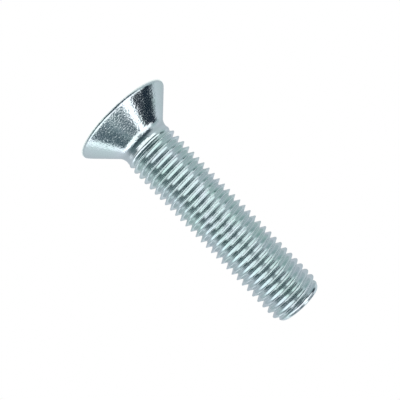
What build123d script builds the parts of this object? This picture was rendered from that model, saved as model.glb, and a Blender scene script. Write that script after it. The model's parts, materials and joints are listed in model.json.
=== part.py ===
from build123d import *
import math
import os

# M16 x 70 countersunk screw with a hexagon socket, cold forged and thread-rolled from one steel blank.
#
# Millimetres, +Z up. The screw stands on its head: the flat top of the head lies on z = 0, the axis
# is Z, the socket opens downwards and the threaded point is up. The thread is held here by its outside
# diameter, its run-in under the head and its chamfered point, as on a workshop drawing.

# Head
head_diameter = 29.75            # over the narrow land at the rim
countersink_angle = 90.0         # full angle of the cone
land_flat = 0.05                 # straight part of the land, between its two rounded edges
top_edge_radius = 0.12           # rim edge, where the land meets the flat top
land_edge_radius = 1.1           # rim edge, where the land meets the cone

# Hexagon socket
socket_across_flats = 10.0
socket_depth = 5.3               # full hexagon, measured at its corners
socket_point_angle = 120.0       # full angle of the pointed bottom left by the punch
mouth_clearance = 0.25           # how far the conical mouth reaches past the hexagon's corners
mouth_angle = 120.0              # full angle of the conical mouth

# Thread
screw_length = 69.3              # over everything, in the tolerance of the 70 mm size
thread_diameter = 15.7           # over the crests, within the tolerance of the 16 mm size
thread_pitch = 2.0
run_in_pitches = 1.15            # the crests rise to their full height over this many turns

# Neck between the head and the thread
neck_depth_in_pitches = 0.29     # how far the rolled blank lies inside the crests
neck_fillet = 3.4                # the hollow between the cone and the neck
neck_straight = 0.1              # plain neck left between the hollow and the first crest

# Chamfered point, which goes in a little deeper than the root of the thread
point_depth_in_pitches = 0.64
point_length_in_pitches = 1.2
point_edge_radius = 0.3

# Radii, and the tangent of each half angle
head_radius = head_diameter / 2
thread_radius = thread_diameter / 2
neck_radius = thread_radius - neck_depth_in_pitches * thread_pitch
end_radius = thread_radius - point_depth_in_pitches * thread_pitch
cone_half_angle = math.radians(countersink_angle / 2)
cone_slope = math.tan(cone_half_angle)
socket_point_slope = math.tan(math.radians(socket_point_angle / 2))
mouth_slope = math.tan(math.radians(mouth_angle / 2))

# Heights above the flat top of the head
land_height = top_edge_radius + land_flat + land_edge_radius * math.tan(cone_half_angle / 2)
cone_end = land_height + (head_radius - neck_radius) / cone_slope
thread_start = cone_end + neck_fillet * math.tan(cone_half_angle / 2) + neck_straight
thread_full = thread_start + run_in_pitches * thread_pitch
point_start = screw_length - point_length_in_pitches * thread_pitch

# The socket: its flats face +Y and -Y
corner_radius = socket_across_flats / 2 / math.cos(math.pi / 6)
socket_apex = socket_depth + corner_radius / socket_point_slope
mouth_radius = corner_radius + mouth_clearance
mouth_apex = mouth_radius / mouth_slope

# The space that the hexagon punch leaves: a hexagon cut off by a cone at its inner end.
with BuildPart() as socket:
    with BuildSketch(Plane.XY):
        RegularPolygon(radius=corner_radius, side_count=6)
    extrude(amount=socket_apex)
    with BuildSketch(Plane.XZ):
        with BuildLine():
            Polyline(
                (0, 0),
                (corner_radius, 0),
                (corner_radius, socket_depth),
                (0, socket_apex),
                close=True,
            )
        make_face()
    revolve(axis=Axis.Z, mode=Mode.INTERSECT)

with BuildPart() as countersunk_screw:
    # Half of the lengthwise section, from the flat top of the head to the end face
    with BuildSketch(Plane.XZ):
        with BuildLine():
            outline = FilletPolyline(
                (0, 0),
                (head_radius, 0),
                (head_radius, land_height),
                (neck_radius, cone_end),
                (neck_radius, thread_start),
                (thread_radius, thread_full),
                (thread_radius, point_start),
                (end_radius, screw_length),
                (0, screw_length),
                radius=(top_edge_radius, land_edge_radius, neck_fillet, 0, 0, 0, point_edge_radius),
            )
            Line(outline @ 1, outline @ 0)
        make_face()
    revolve(axis=Axis.Z)

    # Hexagon socket with its conical mouth
    add(socket.part, mode=Mode.SUBTRACT)
    with BuildSketch(Plane.XZ):
        with BuildLine():
            Polyline((0, 0), (mouth_radius, 0), (0, mouth_apex), close=True)
        make_face()
    revolve(axis=Axis.Z, mode=Mode.SUBTRACT)

countersunk_screw.part.label = "countersunk_screw"

os.makedirs("parts", exist_ok=True)
export_step(countersunk_screw.part, "parts/countersunk_screw.step")
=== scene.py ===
"""An M16 countersunk socket screw in bright zinc-plated steel, standing on its head in a plain studio."""
import json
import math

import bpy
import numpy as np
from bpy.props import FloatProperty, FloatVectorProperty, IntProperty, PointerProperty
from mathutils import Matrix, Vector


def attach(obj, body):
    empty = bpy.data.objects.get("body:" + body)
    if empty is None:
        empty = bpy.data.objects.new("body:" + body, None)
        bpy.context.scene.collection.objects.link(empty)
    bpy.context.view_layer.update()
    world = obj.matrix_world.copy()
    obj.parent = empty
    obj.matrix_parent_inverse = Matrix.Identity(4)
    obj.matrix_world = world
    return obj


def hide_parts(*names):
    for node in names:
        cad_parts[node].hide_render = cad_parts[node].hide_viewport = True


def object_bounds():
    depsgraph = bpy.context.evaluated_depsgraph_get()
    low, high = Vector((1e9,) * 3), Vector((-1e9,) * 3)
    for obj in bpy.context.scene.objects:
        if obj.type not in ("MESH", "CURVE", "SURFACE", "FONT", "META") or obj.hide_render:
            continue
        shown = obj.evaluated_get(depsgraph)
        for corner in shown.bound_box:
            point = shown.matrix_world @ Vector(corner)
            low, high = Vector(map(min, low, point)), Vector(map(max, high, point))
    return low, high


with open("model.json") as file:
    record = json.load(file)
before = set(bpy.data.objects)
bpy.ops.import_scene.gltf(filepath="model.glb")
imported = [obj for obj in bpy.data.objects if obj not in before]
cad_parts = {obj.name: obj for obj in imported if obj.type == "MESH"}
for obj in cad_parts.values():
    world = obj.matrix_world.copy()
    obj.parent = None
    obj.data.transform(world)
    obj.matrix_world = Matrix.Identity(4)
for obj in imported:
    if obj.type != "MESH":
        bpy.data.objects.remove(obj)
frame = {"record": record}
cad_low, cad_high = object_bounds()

bl_info = {
    "name": "Countersunk Socket Screw",
    "version": (1, 0, 0),
    "blender": (4, 5, 0),
    "location": "View3D > Sidebar > Screw",
    "description": "Makes a zinc-plated countersunk socket screw with a rolled metric thread, and its studio",
    "category": "Add Mesh",
}

MM = 0.001
NODE = "countersunk_screw"

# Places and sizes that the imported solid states
MOUNTS = {mount["name"]: mount for mount in frame["record"]["mounts"]}
SCREW_LENGTH = cad_high[2] - cad_low[2]
HEAD_RADIUS = MOUNTS["countersunk_seat"]["dims"]["r_mm"] * MM
THREAD_RADIUS = MOUNTS["thread"]["dims"]["r_mm"] * MM
THREAD_MIDDLE = MOUNTS["thread"]["pos_m"][2]
THREAD_HALF_LENGTH = MOUNTS["thread"]["dims"]["length_mm"] * MM / 2
THREAD_FULL = THREAD_MIDDLE - THREAD_HALF_LENGTH  # height at which the crests are fully grown
POINT_START = THREAD_MIDDLE + THREAD_HALF_LENGTH  # height at which the chamfered point starts
SOCKET_APOTHEM = MOUNTS["hex_socket"]["dims"]["r_mm"] * MM
SOCKET_DEPTH = MOUNTS["hex_socket"]["dims"]["length_mm"] * MM

# Angles of the lengthwise section
HEAD_CONE = 45  # degrees, from the axis to the cone
POINT_NORMAL = 30  # degrees, about the angle from level to the way the chamfer faces
SOCKET_SIDES = 6
SOCKET_CONE = math.radians(30)  # from level to the cones of the socket's bottom and mouth
FLANK = math.radians(60)  # from the axis to a flank of the thread
HALF_GROOVE = math.radians(30)  # from a flank to the line that halves the groove

# How the thread starts and ends
GROOVE_GROWTH = 1.5  # the groove's depth goes as this power of how far it has grown
POINT_CREASE = 0.08 * MM  # over this much, the crease between the thread and the chamfer is rounded
LAST_ROW = 0.4 * MM  # the thread's rows end this far below the end face, well inside the chamfer
SNAP = 0.04 * MM  # rows that come nearer than this to the ring they end at are moved onto it

# How many steps the mesh takes along each stretch of the lengthwise section
STEPS = {
    "socket bottom": 8,
    "socket wall": 8,
    "socket mouth": 2,
    "flat face": 6,
    "top edge": 5,
    "land edge": 6,
    "cone": 12,
    "hollow": 12,
    "half of a root": 3,
    "chamfer": 2,
    "end edge": 5,
    "end face": 6,
}
SHARP_ANGLE = math.radians(40)  # edges that turn by more than this stay crisp

# Where the zinc plate changes along the screw, and which part of a noise's range each change uses
GRAIN_FADE = 4 * MM  # below the full thread, the head's grain gives way to the thread's over this height
RINGS_BELOW = 0.3 * MM  # the point's rings start this far below the chamfer
RINGS_ABOVE = 0.7 * MM  # and are at full depth this far above its start
HUE_RANGE = (0.35, 0.65)
SHINE_RANGE = (0.3, 0.7)

FLOOR_SIDES = 96
FLOOR_LIT = 0.5  # how bright the floor's matt share is in the open: its glow makes the rest up to white

# The camera, about level with the middle of the screw, and rolled so that the screw lies askew
CAMERA_PLACE = (0.000083, -0.144507, 0.036844)
CAMERA_TILT = 2.428  # degrees below level
CAMERA_ROLL = 136.191  # degrees, about its line of sight
CAMERA_LENS = 47.894  # millimetres, on a sensor 36 mm wide
CAMERA_NEAR = 0.01  # nothing nearer than this is drawn


def linear(colour):
    """An sRGB hex colour such as "c8ccd0" as linear red, green, blue and a full alpha."""
    values = np.array([int(colour[i : i + 2], 16) / 255 for i in (0, 2, 4)])
    low = values / 12.92
    high = ((values + 0.055) / 1.055) ** 2.4
    return (*np.where(values <= 0.04045, low, high).tolist(), 1.0)


def length(name, description, default):
    """A length property, in metres."""
    return FloatProperty(
        name=name,
        description=description,
        default=default,
        min=0.0,
        unit="LENGTH",
        precision=5,
    )


def share(name, description, default):
    """A property from 0 to 1."""
    return FloatProperty(
        name=name,
        description=description,
        default=default,
        min=0.0,
        max=1.0,
        subtype="FACTOR",
    )


def swatch(name, description, default):
    """A colour property whose default is an sRGB hex value."""
    return FloatVectorProperty(
        name=name,
        description=description,
        default=linear(default),
        size=4,
        min=0.0,
        max=1.0,
        subtype="COLOR",
    )


class ScrewSizes(bpy.types.PropertyGroup):
    """Sizes of the screw."""

    head_radius: length("Head radius", "Radius of the narrow land at the rim", HEAD_RADIUS)
    land_flat: length("Land", "Straight part of the land between its two rounded edges", 0.05 * MM)
    top_edge_radius: length("Top edge", "Rounding between the land and the flat top", 0.12 * MM)
    land_edge_radius: length("Land edge", "Rounding between the land and the cone", 1.1 * MM)
    neck_fillet: length("Neck hollow", "Radius of the hollow between the cone and the neck", 3.4 * MM)
    neck_straight: length("Plain neck", "Plain neck between the hollow and the first crest", 0.1 * MM)
    neck_depth: length("Neck depth", "How far the unthreaded neck lies inside the crests", 0.58 * MM)
    groove_delay: length("Groove delay", "How far above the first crest's start the groove starts", 0.2 * MM)
    thread_radius: length("Thread radius", "Radius over the crests", THREAD_RADIUS)
    thread_pitch: length("Pitch", "Distance from one crest to the next", 2.0 * MM)
    crest_flat: length("Crest", "Width of the crest before its edges are rounded", 0.17 * MM)
    crest_edge_radius: length("Crest edge", "Rounding of the crest's two edges", 0.14 * MM)
    root_radius: length("Root", "Radius of the hollow between two crests", 0.2 * MM)
    screw_length: length("Length", "Over everything", SCREW_LENGTH)
    point_depth: length("Point depth", "How far the chamfer goes in from the crests", 1.28 * MM)
    point_edge_radius: length("Point edge", "Rounding of the end face's edge", 0.3 * MM)
    socket_apothem: length("Socket", "Half of the distance across the socket's flats", SOCKET_APOTHEM)
    socket_depth: length("Socket depth", "Depth of the full hexagon", SOCKET_DEPTH)
    mouth_clearance: length("Mouth", "How far the conical mouth reaches past the corners", 0.25 * MM)
    thread_start_turn: FloatProperty(
        name="Thread start",
        description="Where round the axis the crest lies, in turns",
        default=0.586,
    )
    columns: IntProperty(
        name="Columns",
        description="Steps round the axis, a multiple of the socket's six sides",
        default=144,
        min=24,
    )


class ZincFinish(bpy.types.PropertyGroup):
    """The zinc plate's colours, shine, grain and turned rings."""

    colour: swatch("Zinc", "Colour of the bare zinc plate", "e6edee")
    passivate_colour: swatch("Passivate", "Colour where the clear passivate is thickest", "ddece7")
    roughness: share("Roughness", "Middle roughness of the plate", 0.14)
    roughness_change: share("Roughness change", "How far the grain moves the roughness either way", 0.04)
    grain_size: length("Grain", "Width of the plate's grain", 0.48 * MM)
    grain_height: length("Grain height", "Depth of the grain on the forged head", 0.046 * MM)
    thread_grain: share("Thread grain", "Share of the head's grain that is left on the rolled thread", 0.05)
    ring_size: length("Rings", "Spacing of the turned rings on the chamfered point", 0.6 * MM)
    ring_height: length("Ring height", "Depth of the turned rings", 0.04 * MM)
    drift_size: length("Drift", "Width of the passivate's patches", 6 * MM)


class StudioSettings(bpy.types.PropertyGroup):
    """The floor and the studio's walls."""

    floor_radius: length("Floor", "Radius of the round floor under the head", 18 * MM)
    floor_colour: swatch("Floor colour", "Colour of the floor where it takes the shadow", "f4f4f4")
    floor_shadow: share("Floor shadow", "Share of the floor's light that a shadow can take away", 0.25)
    wall_colour: swatch("Walls", "Colour of the studio's pale walls", "c0c8d0")


def arc(centre, radius, start, end, steps):
    """Points (r, z) on a circle, from one angle to another in degrees, where 0 degrees points outwards.

    Each is the centre plus the radius times the cosine and the sine of its angle.
    """
    angle = np.radians(np.linspace(start, end, steps + 1))
    return np.stack([centre[0] + radius * np.cos(angle), centre[1] + radius * np.sin(angle)], axis=1)


def line(start, end, steps):
    """Points (r, z) evenly spaced from start to end."""
    return np.linspace(start, end, steps + 1)


def hexagon_radius(angle, apothem):
    """Distance from the axis to the wall of a hexagon whose corners lie at every sixth of a turn.

    It is the apothem over the cosine of the angle from the middle of the nearest flat.
    """
    side = math.tau / SOCKET_SIDES
    from_flat = np.mod(angle, side) - side / 2
    return apothem / np.cos(from_flat)


def profile_changes(sizes):
    """Where the thread's profile changes, as distances along the axis from the middle of a crest.

    The flat crest ends where its rounded edge, which is tangent to the flat and to the flank, starts.
    The flank starts where that arc has turned to the flank's angle. The root's arc starts its own
    radius, times the cosine of half the groove's angle, before the middle of the groove.
    """
    edge_start = sizes.crest_flat / 2 - sizes.crest_edge_radius * math.tan(HALF_GROOVE)
    flank_start = edge_start + sizes.crest_edge_radius * math.sin(FLANK)
    root_start = sizes.thread_pitch / 2 - sizes.root_radius * math.cos(HALF_GROOVE)
    return edge_start, flank_start, root_start


def thread_profile(offset, sizes):
    """Height of the thread over its crest radius, which is zero or less.

    offset is the distance along the axis from the middle of the nearest crest. Going out from there,
    the profile is a flat, an arc that rounds the crest's edge, a straight flank, which falls by the
    tangent of its angle, and an arc that is tangent to the flanks on both sides of the groove. That
    arc's centre lies two of its radii over the corner where the flanks would meet.
    """
    edge_start, flank_start, root_start = profile_changes(sizes)
    middle = sizes.thread_pitch / 2
    edge = sizes.crest_edge_radius
    root = sizes.root_radius
    slope = math.tan(FLANK)
    corner = -(middle - sizes.crest_flat / 2) * slope
    crest_arc = np.sqrt(np.maximum(edge**2 - (offset - edge_start) ** 2, 0)) - edge
    flank = -(offset - sizes.crest_flat / 2) * slope
    root_arc = corner + 2 * root - np.sqrt(np.maximum(root**2 - (offset - middle) ** 2, 0))
    return np.select(
        [offset < edge_start, offset < flank_start, offset < root_start],
        [np.zeros_like(offset), crest_arc, flank],
        root_arc,
    )


def smooth_least(a, b, reach):
    """The lesser of two lengths, with the crease between them rounded over about reach.

    The two are mixed by their difference over the reach, and a parabola that is deepest where they
    are equal is taken off.
    """
    blend = np.clip(0.5 + 0.5 * (b - a) / reach, 0, 1)
    return b + (a - b) * blend - reach * blend * (1 - blend)


def shank_radius(angle, height, start, sizes):
    """Radius of the threaded shank at an angle round the axis and a height.

    A right-hand crest climbs one pitch a turn. From the height start to that of the full thread, the
    crests rise from the plain neck on a cone. The grooves start a little later and deepen slowly at
    first, so that the thread runs in softly. The cone of the point cuts the thread off at the other
    end.
    """
    pitch = sizes.thread_pitch
    turn = np.mod(height / pitch - angle / math.tau - sizes.thread_start_turn, 1.0)
    offset = pitch * np.minimum(turn, 1 - turn)
    crest_rise = np.clip((height - start) / (THREAD_FULL - start), 0, 1)
    groove_rise = np.clip((height - start - sizes.groove_delay) / (THREAD_FULL - start), 0, 1)
    crest = sizes.thread_radius - sizes.neck_depth * (1 - crest_rise)
    shank = crest + thread_profile(offset, sizes) * groove_rise**GROOVE_GROWTH
    point_length = sizes.screw_length - POINT_START
    end_radius = sizes.thread_radius - sizes.point_depth
    cone = end_radius + (sizes.screw_length - height) * sizes.point_depth / point_length
    return smooth_least(shank, cone, POINT_CREASE)


def pitch_rows(sizes):
    """Where across one pitch the rows of the mesh lie: close together on the rounded crest and root."""
    edge_start, flank_start, root_start = profile_changes(sizes)
    half = np.concatenate(
        [
            [edge_start, (edge_start + flank_start) / 2, flank_start, (flank_start + root_start) / 2],
            np.linspace(root_start, sizes.thread_pitch / 2, STEPS["half of a root"] + 1),
        ]
    )
    return np.concatenate([half, sizes.thread_pitch - half[-2::-1]])


def rings(outline, columns):
    """Radii and heights of rows that are rings: the same points (r, z) of an outline in every column."""
    return np.broadcast_to(outline.T[:, None, :], (2, columns + 1, len(outline)))


def socket_section(angle, sizes):
    """Radii and heights of the socket's rows, for each angle round the axis.

    The bottom is a cone that falls from its point in the middle out to a hexagonal wall. The mouth is
    a cone too, which opens downwards, and the wall ends where it meets each of them.
    """
    wall = hexagon_radius(angle, sizes.socket_apothem)[:, None]
    corner = sizes.socket_apothem / math.cos(math.pi / SOCKET_SIDES)
    mouth = corner + sizes.mouth_clearance
    cone_rise = math.tan(SOCKET_CONE)
    bottom_share = np.linspace(0, 1, STEPS["socket bottom"] + 1)[None, :]
    wall_share = np.linspace(0, 1, STEPS["socket wall"] + 1)[None, 1:]
    mouth_share = np.linspace(0, 1, STEPS["socket mouth"] + 1)[None, 1:]
    bottom_r = wall * bottom_share
    bottom_z = sizes.socket_depth + (corner - bottom_r) * cone_rise
    wall_foot = (mouth - wall) * cone_rise
    wall_z = bottom_z[:, -1:] + (wall_foot - bottom_z[:, -1:]) * wall_share
    wall_r = np.broadcast_to(wall, wall_z.shape)
    mouth_r = wall + (mouth - wall) * mouth_share
    mouth_z = wall_foot * (1 - mouth_share)
    radii = np.concatenate([bottom_r, wall_r, mouth_r], axis=1)
    heights = np.concatenate([bottom_z, wall_z, mouth_z], axis=1)
    return np.stack([radii, heights])


def head_outline(mouth, sizes):
    """Points (r, z) of the head's section, from the socket's mouth to the neck.

    The flat face, the rounded top edge, the narrow land with its rounded edge, the cone at 45 degrees,
    which rises as fast as it narrows, and the hollow, each tangent to the next.
    """
    head, top_edge, land_edge = sizes.head_radius, sizes.top_edge_radius, sizes.land_edge_radius
    neck = sizes.thread_radius - sizes.neck_depth
    fillet = sizes.neck_fillet
    tangent_length = math.tan(math.radians(HEAD_CONE) / 2)
    land_height = top_edge + sizes.land_flat + land_edge * tangent_length
    cone_end = land_height + head - neck
    hollow_end = cone_end + fillet * tangent_length
    top_turn = arc((head - top_edge, top_edge), top_edge, -90, 0, STEPS["top edge"])
    land_centre = (head - land_edge, top_edge + sizes.land_flat)
    land_turn = arc(land_centre, land_edge, 0, HEAD_CONE, STEPS["land edge"])
    hollow = arc((neck + fillet, hollow_end), fillet, 180 + HEAD_CONE, 180, STEPS["hollow"])
    face = line((mouth, 0), top_turn[0], STEPS["flat face"])
    cone = line(land_turn[-1], hollow[0], STEPS["cone"])
    return np.concatenate([face[1:-1], top_turn, land_turn, cone[1:-1], hollow])


def point_outline(start, sizes):
    """Points (r, z) of the point's section, from start on its cone to the middle of the end face."""
    edge = sizes.point_edge_radius
    end_radius = sizes.thread_radius - sizes.point_depth
    edge_centre = (end_radius - edge, sizes.screw_length - edge)
    end_turn = arc(edge_centre, edge, POINT_NORMAL, 90, STEPS["end edge"])
    chamfer = line(start, end_turn[0], STEPS["chamfer"])
    face = line(end_turn[-1], (0, sizes.screw_length), STEPS["end face"])
    return np.concatenate([chamfer[1:-1], end_turn, face[1:]])


def shank_section(angle, start, sizes):
    """Radii and heights of the shank's rows, and which of them lie past its first and its last ring.

    The rows climb one pitch a turn with the thread, so that its crests and roots are rows of the mesh.
    A point past one of the two rings is moved along its column to that ring.
    """
    pitch = sizes.thread_pitch
    end = sizes.screw_length - LAST_ROW
    turns = math.ceil((end - start) / pitch) + 2
    first = math.floor(start / pitch) - 1
    along = ((np.arange(turns) + first)[:, None] * pitch + pitch_rows(sizes)[None, :]).ravel()
    climb = pitch * (angle / math.tau + sizes.thread_start_turn)
    climbing = along[None, :] + climb[:, None]
    below = climbing < start + SNAP
    above = climbing > end - SNAP
    heights = np.where(below, start, np.where(above, end, climbing))
    radii = shank_radius(angle[:, None], heights, start, sizes)
    return np.stack([radii, heights]), below, above


def grid_triangles(index):
    """Two triangles for each cell of a grid of point numbers, without those that are only a line."""
    a = index[:-1, :-1].ravel()
    b = index[1:, :-1].ravel()
    c = index[1:, 1:].ravel()
    d = index[:-1, 1:].ravel()
    triangles = np.concatenate([np.stack([a, b, c], axis=1), np.stack([a, c, d], axis=1)])
    whole = (triangles != np.roll(triangles, 1, axis=1)).all(axis=1)
    return triangles[whole]


def screw_mesh(sizes):
    """The whole screw as one closed surface: vertices and triangles.

    The surface is a grid of columns round the axis and rows along the section, from the point of the
    socket's bottom, out through its mouth, over the head, down the cone and up the shank to the middle
    of the end face. A point lies at its row's radius times the cosine and the sine of its column's
    angle, and at its row's height.
    """
    columns = sizes.columns
    angle = np.arange(columns + 1) * math.tau / columns
    socket = socket_section(angle, sizes)
    head = head_outline(socket[0, 0, -1], sizes)
    shank, below, above = shank_section(angle, head[-1, 1] + sizes.neck_straight, sizes)
    point = point_outline(shank[:, 0, -1], sizes)
    sections = (socket, rings(head, columns), shank, rings(point, columns))
    r, z = np.concatenate(sections, axis=2)
    points = np.stack([r * np.cos(angle)[:, None], r * np.sin(angle)[:, None], z], axis=2)

    # Joining: each point gets the number of the one point that stands for its place. The last column
    # is the first one again, where a climbing row goes on as the row one pitch higher.
    index = np.arange(r.size).reshape(r.shape)
    shank_start = socket.shape[2] + len(head)
    shank_end = shank_start + shank.shape[2]
    climbing = index[:, shank_start:shank_end]
    pitch_step = len(pitch_rows(sizes))
    climbing[-1, :-pitch_step] = climbing[0, pitch_step:]
    climbing[below] = np.broadcast_to(climbing[:, :1], climbing.shape)[below]
    climbing[above] = np.broadcast_to(climbing[:, -1:], climbing.shape)[above]
    climbing[-1][below[-1]] = climbing[0, 0]
    climbing[-1][above[-1]] = climbing[0, -1]
    index[-1, :shank_start] = index[0, :shank_start]
    index[-1, shank_end:] = index[0, shank_end:]
    index[:, 0] = index[0, 0]
    index[:, -1] = index[0, -1]
    used, triangles = np.unique(grid_triangles(index), return_inverse=True)
    return points.reshape(-1, 3)[used], triangles.reshape(-1, 3)


def ring_mesh(inner, outer, height, sides):
    """A flat ring that faces up: vertices and triangles.

    Its points lie evenly round two circles, at each radius times the cosine and the sine of the angle.
    """
    angle = np.arange(sides) * math.tau / sides
    circle = np.stack([np.cos(angle), np.sin(angle)], axis=1)
    flat = np.concatenate([inner * circle, outer * circle])
    vertices = np.concatenate([flat, np.full((len(flat), 1), height)], axis=1)
    near = np.arange(sides)
    far = near + sides
    next_near, next_far = np.roll(near, -1), np.roll(far, -1)
    triangles = np.concatenate(
        [np.stack([near, far, next_far], axis=1), np.stack([near, next_far, next_near], axis=1)]
    )
    return vertices, triangles


def mesh_object(name, vertices, triangles):
    """A new mesh object at the origin, made from whole arrays."""
    mesh = bpy.data.meshes.new(name)
    mesh.vertices.add(len(vertices))
    mesh.vertices.foreach_set("co", vertices.ravel())
    mesh.loops.add(triangles.size)
    mesh.loops.foreach_set("vertex_index", triangles.ravel().astype(np.int32))
    mesh.polygons.add(len(triangles))
    mesh.polygons.foreach_set("loop_start", np.arange(0, triangles.size, 3, dtype=np.int32))
    mesh.update(calc_edges=True)
    mesh.validate()
    mesh.shade_smooth()
    mesh.set_sharp_from_angle(angle=SHARP_ANGLE)
    piece = bpy.data.objects.new(name, mesh)
    bpy.context.scene.collection.objects.link(piece)
    return piece


def node(tree, kind, links=None, values=None, **settings):
    """Adds a node: settings are its properties, values its inputs' values, links the outputs they take.

    An input is named, or numbered where the node has more than one of the same name.
    """
    new = tree.nodes.new("ShaderNode" + kind)
    for name, value in settings.items():
        setattr(new, name, value)
    for name, value in (values or {}).items():
        new.inputs[name].default_value = value
    for name, output in (links or {}).items():
        tree.links.new(output, new.inputs[name])
    return new


def zinc_plate(finish):
    """Bright zinc plate with a clear passivate: the fine satin shine of a plated forging.

    The grain gives the forged head its sparkle, and the rolled thread, which the dies have smoothed,
    has little of it. Fine rings, left by the tool that cut the point, break up its gleam. The slow
    drift of the passivate turns the silver faintly blue in one place and green in another.
    """
    material = bpy.data.materials.new("bright_zinc_plate")
    material.use_nodes = True
    tree = material.node_tree
    shader = tree.nodes["Principled BSDF"]
    shader.inputs["Metallic"].default_value = 1.0
    place = node(tree, "TexCoord").outputs["Object"]
    height = node(tree, "SeparateXYZ", {"Vector": place}).outputs["Z"]

    # Grain. On a real plated forging it is about a tenth of a millimetre wide, which is too fine to
    # show, so it is drawn about five times as coarse.
    noise = node(tree, "TexNoise", {"Vector": place}, {"Scale": 1 / finish.grain_size, "Detail": 1.0})
    grain = noise.outputs["Fac"]
    grain_share = node(
        tree,
        "MapRange",
        {"Value": height},
        {
            "From Min": THREAD_FULL,
            "From Max": THREAD_FULL - GRAIN_FADE,
            "To Min": finish.thread_grain,
            "To Max": 1.0,
        },
    )
    worn = node(tree, "Math", {0: grain, 1: grain_share.outputs[0]}, operation="MULTIPLY")

    # Turned rings: the sine of the height along the axis, on the point alone. The real ones are about
    # a fifth of a millimetre apart, and these are drawn three times as coarse, so that they show.
    ring_share = node(
        tree,
        "MapRange",
        {"Value": height},
        {"From Min": POINT_START - RINGS_BELOW, "From Max": POINT_START + RINGS_ABOVE},
    )
    turn = node(tree, "Math", {0: height}, {1: math.tau / finish.ring_size}, operation="MULTIPLY")
    wave = node(tree, "Math", {0: turn.outputs[0]}, operation="SINE")
    turned = node(tree, "Math", {0: wave.outputs[0], 1: ring_share.outputs[0]}, operation="MULTIPLY")
    relief = node(
        tree,
        "Math",
        {0: turned.outputs[0], 2: worn.outputs[0]},
        {1: finish.ring_height / finish.grain_height / 2},
        operation="MULTIPLY_ADD",
    )
    bump = node(tree, "Bump", {"Height": relief.outputs[0]}, {"Distance": finish.grain_height})
    tree.links.new(bump.outputs["Normal"], shader.inputs["Normal"])

    # Passivate: two hues, in patches as wide as its film is uneven
    drift = node(tree, "TexNoise", {"Vector": place}, {"Scale": 1 / finish.drift_size})
    patches = node(
        tree,
        "MapRange",
        {"Value": drift.outputs["Fac"]},
        {"From Min": HUE_RANGE[0], "From Max": HUE_RANGE[1]},
    )
    hue = node(
        tree,
        "Mix",
        {"Factor": patches.outputs[0]},
        {6: finish.colour, 7: finish.passivate_colour},
        data_type="RGBA",
    )
    tree.links.new(hue.outputs[2], shader.inputs["Base Color"])

    # Shine: a little duller where the grain stands high
    shine = node(
        tree,
        "MapRange",
        {"Value": grain},
        {
            "From Min": SHINE_RANGE[0],
            "From Max": SHINE_RANGE[1],
            "To Min": finish.roughness - finish.roughness_change,
            "To Max": finish.roughness + finish.roughness_change,
        },
    )
    tree.links.new(shine.outputs[0], shader.inputs["Roughness"])
    return material


# Parts of the studio that the metal mirrors. Bright plate has hardly a colour of its own: the dark and
# light bands that tell the eye what it is are those of the room. Angles are in degrees as seen from the
# screw: azimuth from -Y towards +X, and elevation over the horizon. Each part has the light it gives
# off, as linear red, green and blue, its middle, half of its width and height, and how softly its edge
# fades. Later ones hide earlier ones.
PANELS = (
    # The unlit room on the -Y side
    {"light": (0.12, 0.17, 0.19), "middle": (29, -8), "half": (58, 35), "edge": 22},
    {"light": (0.035, 0.06, 0.08), "middle": (-2, 19), "half": (58, 15), "edge": 10},
    # Broad soft boxes over it and under it, and a stand before the upper one
    {"light": (1.32, 1.34, 1.42), "middle": (-5, 62), "half": (91, 28), "edge": 10},
    {"light": (1.42, 1.44, 1.52), "middle": (-7, -48), "half": (60, 15), "edge": 5},
    {"light": (0.30, 0.34, 0.38), "middle": (-4, 38), "half": (13, 8), "edge": 2},
    # A strip light to the right of them, a reflector at its far end and a small lamp low down
    {"light": (1.70, 1.79, 1.93), "middle": (70, 32), "half": (46, 4), "edge": 8},
    {"light": (1.20, 1.28, 1.38), "middle": (114, 42), "half": (10, 8), "edge": 5},
    {"light": (0.80, 0.85, 0.92), "middle": (101, -22), "half": (10, 6), "edge": 5},
    # A grey ceiling, with a lamp at its left
    {"light": (0.105, 0.15, 0.18), "middle": (15, 85), "half": (64, 15), "edge": 5},
    {"light": (1.75, 1.85, 1.95), "middle": (-59, 68), "half": (13, 6), "edge": 3},
    # Dark flags at the right, high up and low down
    {"light": (0.19, 0.25, 0.29), "middle": (60, 67), "half": (17, 7), "edge": 3},
    {"light": (0.07, 0.11, 0.14), "middle": (87, 62), "half": (15, 10), "edge": 3},
    {"light": (0.06, 0.10, 0.13), "middle": (103, 52), "half": (10, 9), "edge": 3},
    {"light": (0.01, 0.02, 0.03), "middle": (75, -48), "half": (22, 10), "edge": 8},
    # A grey screen at the left, under two black flags
    {"light": (0.38, 0.47, 0.50), "middle": (-100, 26), "half": (26, 10), "edge": 6},
    {"light": (0.01, 0.02, 0.035), "middle": (-108, 45), "half": (17, 15), "edge": 3},
    {"light": (0.01, 0.02, 0.035), "middle": (-88, 60), "half": (16, 9), "edge": 3},
)
# The walls' light by elevation in degrees: brighter low down, where the table throws it back
WALL_LEVELS = ((-90, 1.3), (-50, 0.62), (0, 0.53), (45, 0.77), (90, 0.25))


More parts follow.
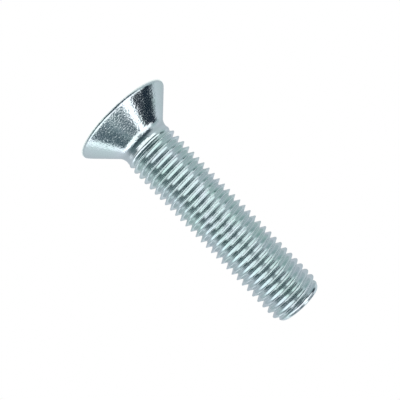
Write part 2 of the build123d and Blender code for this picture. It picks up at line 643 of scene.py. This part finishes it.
def studio_light(tree, settings):
    """The colour that the studio gives off in each direction, as a node output.

    A panel covers a direction by how far the direction's azimuth and elevation lie outside the panel's
    rectangle: fully up to one edge width inside its border, and not at all one edge width outside it.
    """
    direction = node(tree, "TexCoord").outputs["Generated"]
    parts = node(tree, "SeparateXYZ", {"Vector": direction}).outputs
    ahead = node(tree, "Math", {0: parts["Y"]}, {1: -1.0}, operation="MULTIPLY")
    azimuth = node(tree, "Math", {0: parts["X"], 1: ahead.outputs[0]}, operation="ARCTAN2").outputs[0]
    elevation = node(tree, "Math", {0: parts["Z"]}, operation="ARCSINE").outputs[0]
    angles = node(tree, "CombineXYZ", {"X": azimuth, "Y": elevation}).outputs[0]

    ramp = node(tree, "MapRange", {"Value": elevation}, {"From Min": -math.pi / 2, "From Max": math.pi / 2})
    walls = node(tree, "ValToRGB", {"Fac": ramp.outputs[0]})
    stops = walls.color_ramp.elements
    while len(stops) < len(WALL_LEVELS):
        stops.new(0.5)
    red, green, blue, alpha = settings.wall_colour
    for stop, (angle, level) in zip(stops, WALL_LEVELS):
        stop.position = (angle + 90) / 180
        stop.color = (red * level / green, level, blue * level / green, alpha)
    light = walls.outputs["Color"]

    for panel in PANELS:
        edge = math.radians(panel["edge"])
        middle = (*np.radians(panel["middle"]), 0)
        inner = (*(np.radians(panel["half"]) - edge), 0)
        offset = node(tree, "VectorMath", {0: angles}, {1: middle}, operation="SUBTRACT")
        distance = node(tree, "VectorMath", {0: offset.outputs[0]}, operation="ABSOLUTE")
        past = node(tree, "VectorMath", {0: distance.outputs[0]}, {1: inner}, operation="SUBTRACT")
        outside = node(tree, "VectorMath", {0: past.outputs[0]}, {1: (0, 0, 0)}, operation="MAXIMUM")
        how_far = node(tree, "VectorMath", {0: outside.outputs[0]}, operation="LENGTH")
        cover = node(
            tree,
            "MapRange",
            {"Value": how_far.outputs["Value"]},
            {"From Max": 2 * edge, "To Min": 1.0, "To Max": 0.0},
            interpolation_type="SMOOTHSTEP",
        )
        mixed = node(
            tree,
            "Mix",
            {"Factor": cover.outputs[0], 6: light},
            {7: (*panel["light"], 1.0)},
            data_type="RGBA",
        )
        light = mixed.outputs[2]
    return light


def studio_world(settings):
    """Pure white to the camera, and to all else the studio's walls, soft boxes and dark room."""
    world = bpy.data.worlds.new("studio")
    world.use_nodes = True
    tree = world.node_tree
    light = node(tree, "Background", {"Color": studio_light(tree, settings)})
    backdrop = node(tree, "Background", values={"Color": (1, 1, 1, 1)})
    seen = node(tree, "LightPath").outputs["Is Camera Ray"]
    mix = node(tree, "MixShader", {0: seen, 1: light.outputs[0], 2: backdrop.outputs[0]})
    tree.links.new(mix.outputs[0], tree.nodes["World Output"].inputs["Surface"])
    return world


def floor_white(settings):
    """Matt white table: white to the eye and in the metal, with a soft grey where the screw shades it.

    It is clear from below, so that the head can be looked at from there.
    """
    material = bpy.data.materials.new("matt_white_table")
    material.use_nodes = True
    tree = material.node_tree
    tree.nodes.remove(tree.nodes["Principled BSDF"])
    shadow = settings.floor_shadow
    matt = node(tree, "BsdfDiffuse", values={"Color": settings.floor_colour})
    strength = (1 - shadow * FLOOR_LIT) / (1 - shadow)
    glow = node(tree, "Emission", values={"Color": (1, 1, 1, 1), "Strength": strength})
    rays = node(tree, "LightPath").outputs
    opaque = node(tree, "Math", {0: rays["Is Camera Ray"], 1: rays["Is Glossy Ray"]}, operation="MAXIMUM")
    seen = node(tree, "Math", {0: opaque.outputs[0], 1: rays["Is Transmission Ray"]}, operation="MAXIMUM")
    glow_share = node(tree, "Math", {0: seen.outputs[0]}, {1: 1 - shadow}, operation="MULTIPLY")
    lit = node(tree, "MixShader", {0: glow_share.outputs[0], 1: matt.outputs[0], 2: glow.outputs[0]})
    clear = node(tree, "BsdfTransparent")
    below = node(tree, "NewGeometry").outputs["Backfacing"]
    mix = node(tree, "MixShader", {0: below, 1: lit.outputs[0], 2: clear.outputs[0]})
    tree.links.new(mix.outputs[0], tree.nodes["Material Output"].inputs["Surface"])
    return material


def studio_camera():
    """A camera object, upright in its own frame, then rolled about its line of sight, then tilted."""
    data = bpy.data.cameras.new("camera")
    data.lens = CAMERA_LENS
    data.clip_start = CAMERA_NEAR
    camera = bpy.data.objects.new("camera", data)
    camera.location = CAMERA_PLACE
    camera.rotation_mode = "ZYX"
    camera.rotation_euler = (math.radians(90 - CAMERA_TILT), 0, math.radians(CAMERA_ROLL))
    bpy.context.scene.collection.objects.link(camera)
    return camera


class SCREW_OT_make_screw(bpy.types.Operator):
    """Make the screw: head, socket, neck, rolled thread and point in one surface"""

    bl_idname = "screw.make_screw"
    bl_label = "Make Screw"

    def execute(self, context):
        sizes = context.scene.screw_sizes
        if sizes.columns % SOCKET_SIDES:
            raise ValueError("Columns has to be a multiple of the socket's six sides")
        piece = mesh_object("threaded_screw", *screw_mesh(sizes))
        piece.data.materials.append(zinc_plate(context.scene.zinc_finish))
        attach(piece, "root")
        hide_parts(NODE)
        return {"FINISHED"}


class SCREW_OT_make_stage(bpy.types.Operator):
    """Make the floor, the studio's light and the camera"""

    bl_idname = "screw.make_stage"
    bl_label = "Make Stage"

    def execute(self, context):
        scene = context.scene
        sizes = scene.screw_sizes
        settings = scene.studio_settings
        scene.world = studio_world(settings)
        # The floor has a hole under the head's flat face, which would otherwise lie in the same plane
        flat_face = sizes.head_radius - sizes.top_edge_radius
        floor = mesh_object("floor", *ring_mesh(flat_face, settings.floor_radius, cad_low[2], FLOOR_SIDES))
        floor.data.materials.append(floor_white(settings))
        scene.camera = studio_camera()
        scene.view_settings.view_transform = "Standard"
        return {"FINISHED"}


class SCREW_PT_panel(bpy.types.Panel):
    """The screw's sizes, its finish and its studio, each with the button that makes it"""

    bl_idname = "SCREW_PT_panel"
    bl_label = "Countersunk Screw"
    bl_space_type = "VIEW_3D"
    bl_region_type = "UI"
    bl_category = "Screw"

    def draw(self, context):
        scene = context.scene
        layout = self.layout
        layout.use_property_split = True
        parts = (
            (SCREW_OT_make_screw, (scene.screw_sizes, scene.zinc_finish)),
            (SCREW_OT_make_stage, (scene.studio_settings,)),
        )
        for operator, groups in parts:
            box = layout.box()
            for group in groups:
                for name in type(group).__annotations__:
                    box.prop(group, name)
            box.operator(operator.bl_idname)


CLASSES = (ScrewSizes, ZincFinish, StudioSettings, SCREW_OT_make_screw, SCREW_OT_make_stage, SCREW_PT_panel)


def register():
    for cls in CLASSES:
        bpy.utils.register_class(cls)
    bpy.types.Scene.screw_sizes = PointerProperty(type=ScrewSizes)
    bpy.types.Scene.zinc_finish = PointerProperty(type=ZincFinish)
    bpy.types.Scene.studio_settings = PointerProperty(type=StudioSettings)


def unregister():
    del bpy.types.Scene.studio_settings
    del bpy.types.Scene.zinc_finish
    del bpy.types.Scene.screw_sizes
    for cls in reversed(CLASSES):
        bpy.utils.unregister_class(cls)


def main():
    register()
    bpy.ops.screw.make_screw()
    bpy.ops.screw.make_stage()


if __name__ == "__main__":
    main()
